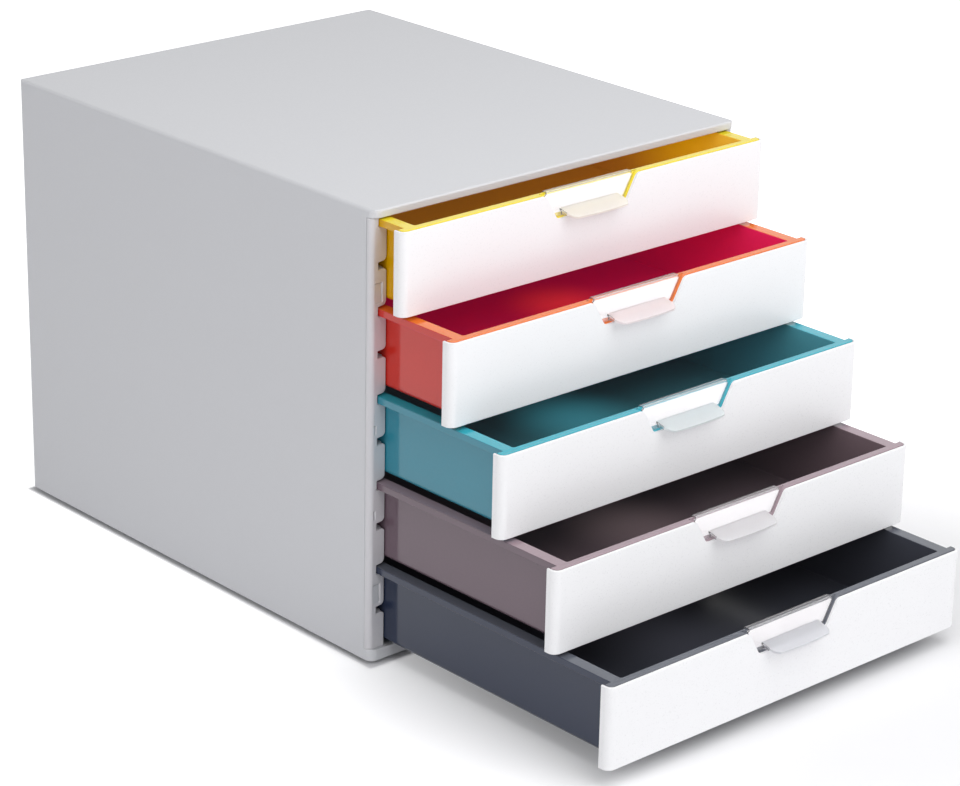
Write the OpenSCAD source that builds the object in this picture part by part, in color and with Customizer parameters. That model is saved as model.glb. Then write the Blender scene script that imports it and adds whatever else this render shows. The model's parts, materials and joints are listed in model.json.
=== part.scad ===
// Five-drawer desktop document box.
// A moulded housing with a rail panel clipped in at each side, and five trays
// that slide in it. Each tray carries a snap-on cover, a label card and a clear
// grip that is also the label's window.
// X is to the right, -Y is the front, Z is up. The origin is the middle of the
// footprint, on the surface that the feet rest on.

/* [Housing] */
// Width over the side walls
housing_w = 292; // [262:1:322]
// Depth from the front of the lips to the back
housing_d = 350; // [300:1:380]
// Height from the underside of the base to the top
housing_h = 279.5; // [264.5:1:304.5]
// Wall thickness of the shell
skin = 2.8; // [2.2:0.1:3.4]
// Height of the lip above the drawers
lip_h = 5; // [4:0.5:7]
// Height of the lip below the drawers
base_lip_h = 7.5; // [6:0.5:9]
// How far the lips stand in front of the rail panels
lip_step = 2; // [1:0.5:4]
// Radius of the upright corners in plan
corner_r = 6; // [4:0.5:8]
// Radius along the top edges
edge_r = 2.5; // [1.5:0.5:4]
// Radius along the front edges of the lips
nose_r = 1.2; // [0.6:0.2:1.8]

/* [Back panel] */
// Width of the frame that the shell turns in round the back panel
back_frame = 16; // [13:1:24]
// Width of the rebate that the back panel lies in
rebate_w = 5; // [3:0.5:8]
// Thickness of the back panel, which lies flush in its rebate
back_t = 1.4; // [1:0.1:1.8]
// Depth of the locating rib on the inside of the back panel
back_rib = 4; // [3:0.5:5]

/* [Feet] */
// Diameter of a foot
foot_d = 16; // [12:1:22]
// Height that the feet hold the base off the surface
foot_h = 2.5; // [2:0.5:6]
// Distance from the housing's sides to the middle of a foot
foot_inset = 24; // [18:1:40]
// Depth of the pocket that a foot is bonded into
foot_pocket = 1; // [0.6:0.1:1.4]

/* [Rail panels] */
// Thickness of the upright web against the shell's side wall
web_t = 2.8; // [2:0.1:3.6]
// How far the rails stand in from the web
rail_reach = 6; // [5:0.5:8]
// Thickness of the front plate, which is also the radius of its outer edge
plate_t = 4; // [3:0.5:5]
// Height of the slots that carry the drawers
slot_h = 5.4; // [5.2:0.1:5.8]
// Height of the spare slots halfway between them
spare_slot_h = 4.2; // [3.6:0.2:5]
// Thickness of the ledge that a rim slides on
ledge_t = 2; // [1.4:0.2:2.6]
// Thickness of the guide rib above a rim
guide_t = 1.6; // [1.2:0.2:2.4]
// Radius that leads a rim in under the rail above it
lead_r = 3; // [2:0.5:4]
// Rise of a slot's roof from the web to the slot's mouth
lead_rise = 0.8; // [0:0.1:1.2]
// Radius on the upper corner of a rail
sill_r = 1.8; // [1:0.2:2.6]
// Width of the wide clip windows in the front plate
clip_window_w = 5.5; // [4:0.5:6]
// Height of the wide clip windows
clip_window_h = 11.5; // [8:0.5:13]
// Depth of the clip windows
clip_window_d = 1; // [0.6:0.2:1.6]

/* [Drawers] */
// How far each drawer is pulled out, from the top one down
drawer_open = [19, 61, 104, 149, 194]; // [0:1:235]
// How far a drawer slides out before its stops meet the front plate
max_travel = 235; // [200:1:245]
// Gap between one front cover and the next
cover_gap = 3; // [2:0.5:5]
// Thickness of a front cover
cover_t = 1.6; // [1.2:0.1:2]
// Depth of the cover's ends, which wrap round the tray's front
cover_return = 7.6; // [7.4:0.2:10]
// Outer radius of the cover's upright corners
cover_r = 5; // [3:0.5:7]
// Wall thickness of a tray
tray_wall = 1.9; // [1.5:0.1:2.4]
// Depth of the tray's front frame, from behind the cover to inside the tray
frame_d = 4.7; // [4.5:0.1:5]
// Height of the frame's lower edge above the cover's
frame_lift = 0.9; // [0.5:0.1:1.5]
// Thickness of the flange round the front frame
flange_t = 1.6; // [1.2:0.1:2]
// Height of the rim that runs in a slot
rim_h = 4.4; // [4:0.1:4.8]
// Thickness of the rim's top and of its turned-down edge
rim_t = 1.8; // [1.4:0.1:2.2]
// How far the rim stands above the cover's top edge
rim_rise = 0.4; // [0:0.1:0.8]
// Height of the tray's underside above the cover's lower edge
tray_lift = 1.5; // [1:0.5:3]
// Radius of the tray's upright corners
tray_r = 6; // [4:0.5:9]
// Radius along the tray's bottom edges
tray_edge_r = 3; // [2:0.5:5]
// Height of a stop above the rim
stop_h = 1.6; // [1.4:0.1:2]
// Length of a stop along the rim
stop_l = 8; // [6:1:14]

/* [Notch, label and grip] */
// Width of the notch at the cover's top edge
notch_top_w = 74; // [66:1:90]
// Width of the notch at its floor
notch_floor_w = 56; // [52:1:62]
// Depth of the notch below the cover's top edge
notch_h = 15.8; // [14:0.2:18]
// Radius of the notch's four corners
notch_r = 5; // [3:0.5:6]
// Thickness of the label card
card_t = 0.4; // [0.3:0.1:0.6]
// Height of the label card
card_h = 12.4; // [10:0.2:12.6]
// Thickness of the clear window
window_plate_t = 1; // [0.8:0.1:1.4]
// Width of the grip
grip_w = 47; // [36:1:50]
// How far the grip stands out in front of the cover
grip_reach = 10; // [7:0.5:14]
// Thickness of the grip
grip_t = 1.4; // [1.2:0.1:1.8]
// Height of the grip's crease below the cover's top edge
grip_drop = 10.4; // [9.5:0.1:11]
// Angle at which the grip slopes down towards its front edge
grip_angle = 14; // [8:1:18]
// How far the grip's front edge bows out
grip_bow = 1; // [0.5:0.5:3]
// Radius of the grip's front corners
grip_corner_r = 7; // [6:0.2:8]
// How far the cheeks under the grip stand out in front of the cover
cheek_reach = 2; // [1:0.5:4]
// Distance of the cheeks from the grip's ends
cheek_inset = 1; // [0.6:0.2:3]
// How far the grip's hook reaches down inside the tray
hook_drop = 3; // [2:0.5:5]

/* [Clearances] */
// Gap between a tray's side and the rails
side_play = 0.5; // [0.3:0.1:1]
// Gap between a rim's edge and the web
rim_play = 0.4; // [0.3:0.1:0.8]
// Gap between a rim and the ledge below it
ledge_play = 0.15; // [0.1:0.05:0.3]
// Gap between a stop and the guide rib above it
guide_play = 0.5; // [0.3:0.1:0.8]
// Gap left where a moving piece stops
stop_gap = 0.4; // [0.3:0.1:0.8]
// Gap round pieces that clip together
clip_play = 0.15; // [0.1:0.05:0.2]
// Gap between the clear window and the card behind it
card_play = 0.1; // [0.05:0.05:0.3]
// Gap between a closed tray and the shell's back wall
rear_play = 6; // [5.5:0.5:10]

/* [Hidden] */
$fn = 64;

// Reaches past a face that a cut goes through
cut = 1;
drawer_count = 5;
tray_colours = ["#f0d020", "#e8604a", "#3fa9b8", "#8f7b84", "#4a505c"];

// Levels and planes of the housing
base_z = foot_h;
top_z = base_z + housing_h;
mouth_low = base_z + base_lip_h;
mouth_high = top_z - lip_h;
front_y = -housing_d / 2;
back_y = housing_d / 2;
plate_front_y = front_y + lip_step;
plate_back_y = plate_front_y + plate_t;
back_inner_y = back_y - skin;
wall_x = housing_w / 2 - skin;
root_x = wall_x - web_t;
face_x = root_x - rail_reach;

// Drawer sizes, worked from the mouth of the housing
pitch = (mouth_high - mouth_low) / drawer_count;
cover_h = pitch - cover_gap;
closed_y = plate_front_y - stop_gap - cover_return;
frame_y = cover_t + clip_play;
inside_y = frame_y + frame_d;
panel_y = inside_y - tray_wall;
frame_half = housing_w / 2 - cover_t - clip_play;
tray_half = face_x - side_play;
rim_half = root_x - rim_play;
rim_top = cover_h + rim_rise;
tray_end = back_inner_y - rear_play - closed_y;
// Behind the tray the rim reaches half as far as it does at the sides
rear_wall_y = tray_end - (rim_half - tray_half) / 2;

// Rail levels. The first slot carries the top drawer's rim
slot_floor_0 = mouth_high - cover_gap / 2 + rim_rise - rim_h - ledge_play;
channel_h = ledge_play + rim_h + stop_h + guide_play;
inner_corner_r = corner_r - skin;
rail_end_y = back_inner_y - inner_corner_r - clip_play;

// Stops meet the back of the front plate at full travel
stop_y = plate_back_y + stop_gap - (closed_y - max_travel);

// The frame's own notch stands in this far from the cover's
frame_stand_in = 0.4;
// The clear window and the card stop short of the cover's top edge
window_drop = 0.6;
window_top = cover_h - window_drop;
// The grip's hook runs over the tray's front wall, and clears the lip when the drawer is closed
hook_t = cover_gap / 2 - rim_rise - stop_gap;
// Margins and sizes of the clip windows
clip_window_side = 2.8;
clip_window_lift = 3;
slim_window = [1.6, 5];
// Slots that have a clip window above them, counted from the top one
wide_over_slot = 1;
slim_over_spares = [2, 3];
// Where the hidden clips of a cover are, as shares of its height, and how high each is
clip_levels = [0.25, 0.75];
clip_hold_h = 10;
// Small radii that break the edges of thin mouldings
edge_break = 0.8;
// Corner circles are this much larger than their radius, so that they cross the outline
crossing = 1.0004;
// Corner pieces reach this much further past the outline than their radius
corner_overlap = 1.05;
// How far the pieces of one moulding run into each other
weld = 0.2;

notch_floor = cover_h - notch_h;
notch_slope = atan2(notch_h, (notch_top_w - notch_floor_w) / 2);

function cover_z(i) = mouth_high - cover_gap / 2 - cover_h - i * pitch;
function slot_floor(i) = slot_floor_0 - i * pitch;
function spare_floor(i) = slot_floor(i) - pitch / 2 + slot_h - spare_slot_h;

// Half width of the notch at a height, moved a distance into the cover's material
function notch_half(z, inset) =
    notch_floor_w / 2 + (z - notch_floor) / tan(notch_slope) + inset / sin(notch_slope);

// ---- Outlines with true arcs ----

// The piece of a corner between its point and the arc that rounds it
module corner_piece(corner, before, after, r) {
    u = (before - corner) / norm(before - corner);
    v = (after - corner) / norm(after - corner);
    half = acos(u * v) / 2;
    centre = corner + (u + v) / norm(u + v) * r / sin(half);
    reach = r / tan(half);
    function past(p) = centre + (p - centre) * corner_overlap;
    difference() {
        polygon([past(corner), past(corner + u * reach), centre, past(corner + v * reach)]);
        translate(centre) circle(r * crossing);
    }
}

// A polygon, drawn anticlockwise, with a radius for each of its points
module rounded(points, radii) {
    n = len(points);
    function at(i) = points[(i + n) % n];
    function turn(i) = cross(at(i) - at(i - 1), at(i + 1) - at(i));
    difference() {
        union() {
            polygon(points);
            for (i = [0 : n - 1])
                if (radii[i] > 0 && turn(i) < 0) corner_piece(at(i), at(i - 1), at(i + 1), radii[i]);
        }
        for (i = [0 : n - 1])
            if (radii[i] > 0 && turn(i) > 0) corner_piece(at(i), at(i - 1), at(i + 1), radii[i]);
    }
}

// A rectangle from one corner to the other, with four radii from the lower left, anticlockwise
module rounded_rect(low, high, radii) {
    rounded([low, [high.x, low.y], high, [low.x, high.y]], radii);
}

// An outline in X and Z, made solid from y0 to y1
module along_y(y0, y1) {
    translate([0, y1, 0]) rotate([90, 0, 0]) linear_extrude(y1 - y0) children();
}

// An outline in Y and Z, made solid over a width about the middle
module along_x(width) {
    translate([-width / 2, 0, 0]) rotate([90, 0, 90]) linear_extrude(width) children();
}

// An outline in X and Y, made solid from z0 to z1
module along_z(z0, z1) {
    translate([0, 0, z0]) linear_extrude(z1 - z0) children();
}

// A plain block between two corners
module block(low, high) {
    translate(low) cube(high - low);
}

module both_sides() {
    children();
    mirror([1, 0, 0]) children();
}

// ---- Housing ----

// Outer form: upright corners, top edges and the lips' front edges are all rounded
module shell_form() {
    half = housing_w / 2;
    foot_edge = nose_r / 2;
    intersection() {
        along_z(base_z, top_z)
            rounded_rect([-half, front_y], [half, back_y], [corner_r, corner_r, corner_r, corner_r]);
        along_y(front_y, back_y)
            rounded_rect([-half, base_z], [half, top_z], [foot_edge, foot_edge, edge_r, edge_r]);
        along_x(housing_w)
            rounded_rect([front_y, base_z], [back_y, top_z], [nose_r, foot_edge, edge_r, nose_r]);
    }
}

// Space inside the shell, open at the front between the lips
module shell_cavity() {
    r = inner_corner_r;
    along_z(base_z + skin, top_z - skin)
        rounded_rect([-wall_x, plate_back_y], [wall_x, back_inner_y], [0, 0, r, r]);
}

// The back opening, grown by a margin
module back_outline(grow) {
    half = housing_w / 2 - back_frame + grow;
    low = base_z + back_frame - grow;
    high = top_z - back_frame + grow;
    r = corner_r / 2 + grow;
    rounded_rect([-half, low], [half, high], [r, r, r, r]);
}

module at_feet() {
    x = housing_w / 2 - foot_inset;
    y = housing_d / 2 - foot_inset;
    for (sx = [-1, 1], sy = [-1, 1]) translate([sx * x, sy * y, 0]) children();
}

module housing_shell() {
    color("#c6c8cb") difference() {
        shell_form();
        shell_cavity();
        // The mouth. The side walls stop at the back of the rail panels' front plates
        block([-housing_w / 2 - cut, front_y - cut, mouth_low],
            [housing_w / 2 + cut, plate_back_y + cut / 2, mouth_high]);
        along_y(back_inner_y - cut, back_y + cut) back_outline(0);
        along_y(back_y - back_t, back_y + cut) back_outline(rebate_w);
        at_feet() translate([0, 0, base_z - cut]) cylinder(h = foot_pocket + cut, d = foot_d + 2 * clip_play);
    }
}

module back_panel() {
    color("#c2c4c8") {
        along_y(back_y - back_t, back_y) back_outline(rebate_w - clip_play);
        along_y(back_y - back_t - back_rib, back_y - back_t + weld) difference() {
            back_outline(-clip_play);
            back_outline(-clip_play - skin);
        }
    }
}

module rubber_feet() {
    chamfer = foot_h / 4;
    color("#3a3a3c") at_feet() rotate_extrude() polygon([
        [0, 0], [foot_d / 2 - chamfer, 0], [foot_d / 2, chamfer],
        [foot_d / 2, base_z + foot_pocket], [0, base_z + foot_pocket]
    ]);
}

// ---- Rail panels ----

// One rail between two slots, seen from the front, with the corners at its face rounded
module rail_outline(low, high, low_r, rise) {
    root = root_x + web_t / 2;
    rounded([[face_x, low + rise], [root, low], [root, high], [face_x, high]], [low_r, 0, 0, sill_r]);
}

// Front plate of the right rail panel: an upright strip with a rail between each two slots
module comb_outline() {
    translate([root_x, mouth_low]) square([housing_w / 2 - root_x, mouth_high - mouth_low]);
    for (i = [0 : drawer_count - 1]) {
        rail_outline(spare_floor(i) + spare_slot_h, slot_floor(i), lead_r, lead_rise);
        if (i < drawer_count - 1) rail_outline(slot_floor(i + 1) + slot_h, spare_floor(i), lead_r, lead_rise);
        else rail_outline(mouth_low, spare_floor(i), 0, 0);
    }
}

// Edge of the front plate from above: its outer corner is a quarter round
module plate_plan() {
    nose = plate_t - edge_break / 2;
    rounded_rect([face_x - cut, plate_front_y], [housing_w / 2, plate_back_y], [0, nose, 0, 0]);
}

// A shallow clip window in the front plate, above a level
module clip_window(level, size) {
    x = housing_w / 2 - clip_window_side - size.x;
    z = level + clip_window_lift;
    block([x, plate_front_y - cut, z], [x + size.x, plate_front_y + clip_window_d, z + size.y]);
}

// A rib that runs back from the front plate, below a level
module rail_rib(level, thickness) {
    block([face_x, plate_back_y - weld, level - thickness], [root_x + weld, rail_end_y, level]);
}

module rail_panel() {
    wide = [clip_window_w, clip_window_h];
    last = drawer_count - 1;
    color("#c0c2c4") {
        difference() {
            intersection() {
                along_y(plate_front_y, plate_back_y) comb_outline();
                along_z(mouth_low, mouth_high) plate_plan();
            }
            clip_window(slot_floor(wide_over_slot) + slot_h, wide);
            clip_window(spare_floor(last) + spare_slot_h, wide);
            for (i = slim_over_spares) clip_window(spare_floor(i) + spare_slot_h, slim_window);
        }
        // The web is rooted in the plate between the lips and stands behind them above and below
        block([root_x, plate_back_y - weld, mouth_low], [wall_x, rail_end_y, mouth_high]);
        block([root_x, plate_back_y, base_z + skin], [wall_x, rail_end_y, top_z - skin]);
        for (i = [0 : last]) {
            rail_rib(slot_floor(i), ledge_t);
            rail_rib(spare_floor(i), ledge_t);
            rail_rib(spare_floor(i) + spare_slot_h + guide_t, guide_t);
            if (i > 0) rail_rib(slot_floor(i) + channel_h + guide_t, guide_t);
        }
    }
}

module right_rail_panel() { rail_panel(); }
module left_rail_panel() { mirror([1, 0, 0]) rail_panel(); }

// ---- Drawers ----
// Each drawer is drawn with the cover's front face at y = 0 and its lower edge at z = 0

module at_drawer(i) {
    translate([0, closed_y - drawer_open[i], cover_z(i)]) children();
}

// The tray as a solid block, smaller by a margin
module tray_form(inset) {
    half = tray_half - inset;
    front = panel_y + inset;
    rear = rear_wall_y - inset;
    low = tray_lift + inset;
    high = rim_top + (inset > 0 ? cut : 0);
    upright_r = tray_r - inset;
    edge = tray_edge_r - inset;
    intersection() {
        along_z(low, high)
            rounded_rect([-half, front], [half, rear], [inset / 2, inset / 2, upright_r, upright_r]);
        along_y(front, rear) rounded_rect([-half, low], [half, high], [edge, edge, 0, 0]);
        along_x(2 * half) rounded_rect([front, low], [rear, high], [inset / 2, edge, 0, 0]);
    }
}

// Rim in plan, smaller by a margin
module rim_plan(inset) {
    r = tray_r - inset;
    rounded_rect([-rim_half + inset, panel_y], [rim_half - inset, tray_end - inset], [0, 0, r, r]);
}

// Rim that turns out over the rails and down at its edge
module rim() {
    difference() {
        along_z(rim_top - rim_h, rim_top) rim_plan(0);
        along_z(rim_top - rim_h - cut, rim_top - rim_t) difference() {
            rim_plan(rim_t);
            translate([-rim_half, panel_y - cut]) square([2 * rim_half, tray_wall + cut]);
        }
    }
}

// A stop on the rim: square towards the front and ramped behind
module rim_stop() {
    high = rim_top + stop_h;
    low = rim_top - rim_t / 2;
    x = (rim_half + tray_half) / 2;
    translate([x, 0, 0]) rotate([90, 0, 90]) linear_extrude(rim_half - x) polygon([
        [stop_y, low], [stop_y + stop_l, low], [stop_y + stop_l, rim_top],
        [stop_y + stop_l / 2, high], [stop_y, high]
    ]);
}

// Front of a drawer, seen from ahead, with the notch moved a distance into the material
module front_outline(half, low, high, inset) {
    z = notch_floor - inset;
    top = notch_half(high, inset);
    floor_half = notch_half(z, inset);
    top_r = max(notch_r - inset, edge_break);
    floor_r = notch_r + inset;
    b = edge_break;
    rounded(
        [[-half, low], [half, low], [half, high], [top, high], [floor_half, z],
            [-floor_half, z], [-top, high], [-half, high]],
        [b, b, b, top_r, floor_r, floor_r, top_r, b]
    );
}

// Front frame: a full-width panel with a flange that runs round it and down into the notch
module front_frame() {
    ear_r = cover_r - cover_t - clip_play;
    half = frame_half;
    inner = half - flange_t;
    intersection() {
        union() {
            along_y(panel_y, inside_y)
                rounded_rect([-half, frame_lift], [half, rim_top], [edge_break, edge_break, 0, 0]);
            along_y(frame_y, panel_y + weld) difference() {
                front_outline(half, frame_lift, rim_top, -frame_stand_in);
                front_outline(inner, frame_lift + flange_t, rim_top - flange_t, flange_t - frame_stand_in);
            }
        }
        along_z(frame_lift, rim_top) rounded_rect([-half, frame_y], [half, inside_y], [ear_r, ear_r, 0, 0]);
    }
}

module tray(i) {
    color(tray_colours[i]) at_drawer(i) {
        difference() {
            union() {
                tray_form(0);
                rim();
                front_frame();
            }
            tray_form(tray_wall);
        }
        both_sides() rim_stop();
    }
}

// Cover from above: a plate whose rounded ends wrap back round the tray's front frame
module cover_plan() {
    half = housing_w / 2;
    inner_r = cover_r - cover_t;
    difference() {
        rounded_rect([-half, 0], [half, cover_return], [cover_r, cover_r, 0, 0]);
        rounded_rect([cover_t - half, cover_t], [half - cover_t, cover_return + cut],
            [inner_r, inner_r, 0, 0]);
    }
}

// Clips inside the cover's ends, which hold behind the frame
module cover_clips() {
    hold = cover_t;
    x = housing_w / 2 - cover_t;
    for (level = clip_levels) {
        low = level * cover_h - clip_hold_h / 2;
        block([x - hold, inside_y + clip_play, low], [x + weld, cover_return, low + clip_hold_h]);
    }
}

module front_cover(i) {
    color("#f4f4f5") at_drawer(i) {
        intersection() {
            along_z(0, cover_h) cover_plan();
            along_y(0, cover_return) front_outline(housing_w / 2, 0, cover_h, 0);
        }
        both_sides() cover_clips();
    }
}

// Sheet that fills the frame's notch between two levels, less a gap at its sides
module notch_sheet(low, high, gap, low_r) {
    low_half = notch_half(low, -frame_stand_in - gap);
    high_half = notch_half(high, -frame_stand_in - gap);
    rounded(
        [[-low_half, low], [low_half, low], [high_half, high], [-high_half, high]],
        [low_r, low_r, edge_break, edge_break]
    );
}

module label_card(i) {
    color("#fbfbf8") at_drawer(i) along_y(panel_y - card_t, panel_y)
        notch_sheet(window_top - card_h, window_top, edge_break, edge_break);
}

// Grip from above: a tongue with a bowed front edge
module grip_plan(reach) {
    half = grip_w / 2;
    bow_r = (half * half + grip_bow * grip_bow) / (2 * grip_bow);
    intersection() {
        rounded_rect([-half, -reach], [half, window_plate_t / 2], [grip_corner_r, grip_corner_r, 0, 0]);
        translate([0, bow_r - reach]) circle(bow_r);
    }
}

// Small upright cheek under one end of the grip, rooted in the window and in the tongue
module grip_cheek(face, crease) {
    low = notch_floor + frame_stand_in + edge_break;
    root = face + window_plate_t / 2;
    fall = (root + cheek_reach) * tan(grip_angle);
    translate([grip_w / 2 - cheek_inset - grip_t, 0, 0]) rotate([90, 0, 90]) linear_extrude(grip_t) polygon([
        [root, low], [root, crease - grip_t / 2],
        [-cheek_reach, crease - fall - grip_t / 2], [-cheek_reach, crease - fall - 2 * grip_t]
    ]);
}

// Hook from the top of the window over the tray's front wall and down inside it
module grip_hook(face, window_back) {
    low = window_top - edge_break;
    high = rim_top + hook_t;
    inner = inside_y + hook_t;
    along_x(2 * notch_half(window_top, -frame_stand_in - 2 * edge_break)) polygon([
        [face, low], [window_back, low], [window_back, rim_top], [inside_y, rim_top],
        [inside_y, rim_top - hook_drop], [inner, rim_top - hook_drop], [inner, high], [face, high]
    ]);
}

module clear_grip(i) {
    window_back = panel_y - card_t - card_play;
    face = window_back - window_plate_t;
    crease = cover_h - grip_drop;
    reach = (face + grip_reach) / cos(grip_angle);
    color("#e8eef0", 0.5) at_drawer(i) {
        along_y(face, window_back)
            notch_sheet(notch_floor + frame_stand_in, window_top, clip_play, notch_r - frame_stand_in);
        translate([0, face, crease]) rotate([grip_angle, 0, 0]) translate([0, 0, -grip_t])
            linear_extrude(grip_t) grip_plan(reach);
        both_sides() grip_cheek(face, crease);
        grip_hook(face, window_back);
    }
}

module tray_1() { tray(0); }
module tray_2() { tray(1); }
module tray_3() { tray(2); }
module tray_4() { tray(3); }
module tray_5() { tray(4); }
module front_cover_1() { front_cover(0); }
module front_cover_2() { front_cover(1); }
module front_cover_3() { front_cover(2); }
module front_cover_4() { front_cover(3); }
module front_cover_5() { front_cover(4); }
module label_card_1() { label_card(0); }
module label_card_2() { label_card(1); }
module label_card_3() { label_card(2); }
module label_card_4() { label_card(3); }
module label_card_5() { label_card(4); }
module clear_grip_1() { clear_grip(0); }
module clear_grip_2() { clear_grip(1); }
module clear_grip_3() { clear_grip(2); }
module clear_grip_4() { clear_grip(3); }
module clear_grip_5() { clear_grip(4); }

housing_shell();
back_panel();
left_rail_panel();
right_rail_panel();
rubber_feet();
tray_1();
tray_2();
tray_3();
tray_4();
tray_5();
front_cover_1();
front_cover_2();
front_cover_3();
front_cover_4();
front_cover_5();
label_card_1();
label_card_2();
label_card_3();
label_card_4();
label_card_5();
clear_grip_1();
clear_grip_2();
clear_grip_3();
clear_grip_4();
clear_grip_5();
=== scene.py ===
import json
import math

import bmesh
import bpy
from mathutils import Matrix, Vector


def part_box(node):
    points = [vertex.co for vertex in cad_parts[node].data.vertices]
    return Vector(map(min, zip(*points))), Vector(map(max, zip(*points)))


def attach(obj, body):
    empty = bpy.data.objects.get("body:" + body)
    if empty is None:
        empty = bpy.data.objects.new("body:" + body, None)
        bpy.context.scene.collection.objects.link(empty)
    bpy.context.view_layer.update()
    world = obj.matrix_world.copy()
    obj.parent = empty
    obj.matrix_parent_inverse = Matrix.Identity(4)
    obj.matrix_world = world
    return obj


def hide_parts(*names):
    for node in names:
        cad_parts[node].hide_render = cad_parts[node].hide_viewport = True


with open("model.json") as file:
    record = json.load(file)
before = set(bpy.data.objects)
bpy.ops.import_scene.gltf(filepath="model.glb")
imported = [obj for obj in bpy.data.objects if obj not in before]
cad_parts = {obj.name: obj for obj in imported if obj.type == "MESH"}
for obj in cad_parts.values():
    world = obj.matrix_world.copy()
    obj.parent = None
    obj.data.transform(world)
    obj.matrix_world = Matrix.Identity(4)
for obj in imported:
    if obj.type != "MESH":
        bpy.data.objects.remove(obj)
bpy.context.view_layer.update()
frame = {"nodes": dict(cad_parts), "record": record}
millimetre = 0.001


def linearColour(hexColour):
    # sRGB hex to the linear values that the shaders take
    def channel(value):
        return value / 12.92 if value <= 0.04045 else ((value + 0.055) / 1.055) ** 2.4

    parts = [int(hexColour[i:i + 2], 16) / 255 for i in (1, 3, 5)]
    return (*[channel(part) for part in parts], 1.0)


def socketOf(sockets, key):
    # by identifier, because a node's sockets can share a name, or else by name
    for socket in sockets:
        if socket.identifier == key:
            return socket
    return sockets[key]


def addNode(tree, kind, settings=None, links=None):
    # one node, with its settings by name. An input is given a value, another node's output, or a
    # list of outputs where it takes several
    node = tree.nodes.new(kind)
    for name, value in (settings or {}).items():
        setattr(node, name, value)
    for key, given in (links or {}).items():
        socket = socketOf(node.inputs, key)
        for value in given if isinstance(given, list) else [given]:
            if isinstance(value, bpy.types.NodeSocket):
                tree.links.new(value, socket)
            else:
                socket.default_value = value
    return node


def newObject(name, data):
    made = bpy.data.objects.new(name, data)
    bpy.context.scene.collection.objects.link(made)
    return made


def startMaterial(name):
    material = bpy.data.materials.new(name)
    material.use_nodes = True
    material.node_tree.nodes.clear()
    return material, material.node_tree


def finishMaterial(tree, shader):
    addNode(tree, "ShaderNodeOutputMaterial", links={"Surface": shader})


def perMetre(sizeInMillimetres):
    # a noise pattern's scale from the size of its grains
    return 1 / (sizeInMillimetres * millimetre)


# Most surfaces here have a grain: a noise pattern with two tones and a relief. A look can give its
# own detail and twist.
plainGrain = {"detail": 3.0, "twist": 0.0}
noiseSpan = {"low": 0.2, "high": 0.8}  # nearly all values of a noise pattern lie between these
fullMirroring = 0.5  # the shader's own level, at which a surface mirrors as much as its index says


def grainedSkin(tree, place, look):
    look = {**plainGrain, **look}
    grain = addNode(tree, "ShaderNodeTexNoise", links={
        "Vector": place, "Scale": perMetre(look["grainSize"]), "Detail": look["detail"],
        "Distortion": look["twist"]}).outputs["Fac"]
    tone = addNode(tree, "ShaderNodeMix", {"data_type": "RGBA"}, {
        "Factor_Float": grain, "A_Color": linearColour(look["colour"]),
        "B_Color": linearColour(look["colourFar"])})
    relief = addNode(tree, "ShaderNodeBump", links={
        "Height": grain, "Distance": look["grainDepth"] * millimetre})
    return grain, socketOf(tone.outputs, "Result_Color"), relief.outputs["Normal"]


def unevenGloss(tree, pattern, look):
    # a roughness that varies with a pattern
    gloss = addNode(tree, "ShaderNodeMapRange", {"interpolation_type": "SMOOTHSTEP"}, {
        "Value": pattern, "From Min": noiseSpan["low"], "From Max": noiseSpan["high"],
        "To Min": look["roughness"] - look["roughnessSpread"],
        "To Max": look["roughness"] + look["roughnessSpread"]})
    return gloss.outputs["Result"]


def paintedGlowColour(tree, place, look):
    # painted light: an emission that stands in for light coming in through thin walls, faint all
    # over and stronger in one soft patch
    away = addNode(tree, "ShaderNodeVectorMath", {"operation": "DISTANCE"}, {
        "Vector": place, "Vector_001": look["centre"]})
    fading = addNode(tree, "ShaderNodeMapRange", {"interpolation_type": "SMOOTHSTEP"}, {
        "Value": away.outputs["Value"], "From Min": 0.0, "From Max": look["radius"] * millimetre})
    light = addNode(tree, "ShaderNodeMix", {"data_type": "RGBA"}, {
        "Factor_Float": fading.outputs["Result"], "A_Color": linearColour(look["paintedGlowPatch"]),
        "B_Color": linearColour(look["all"])})
    return socketOf(light.outputs, "Result_Color")


# Injection-moulded polystyrene and ABS. The tool's surface prints on every face: spark-eroded steel
# gives the satin grain of the grey housing, polished steel the gloss of the covers and trays. The
# real grain is about 0.1 mm, too fine to show, so it is drawn 1 to 2 mm across and very shallow.
def mouldedPlastic(look):
    material, tree = startMaterial(look["name"])
    place = addNode(tree, "ShaderNodeTexCoord").outputs["Object"]
    grain, tone, relief = grainedSkin(tree, place, look)
    inputs = {
        "Base Color": tone, "Roughness": unevenGloss(tree, grain, look), "Normal": relief,
        "IOR": look["ior"], "Specular IOR Level": look.get("mirroring", fullMirroring)}
    # a tray's inside glows: painted light, an emission that no lamp gives
    if "paintedGlow" in look:
        inputs["Emission Color"] = paintedGlowColour(tree, place, look["paintedGlow"])
        inputs["Emission Strength"] = 1.0
    shader = addNode(tree, "ShaderNodeBsdfPrincipled", links=inputs)
    finishMaterial(tree, shader.outputs["BSDF"])
    return material


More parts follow.
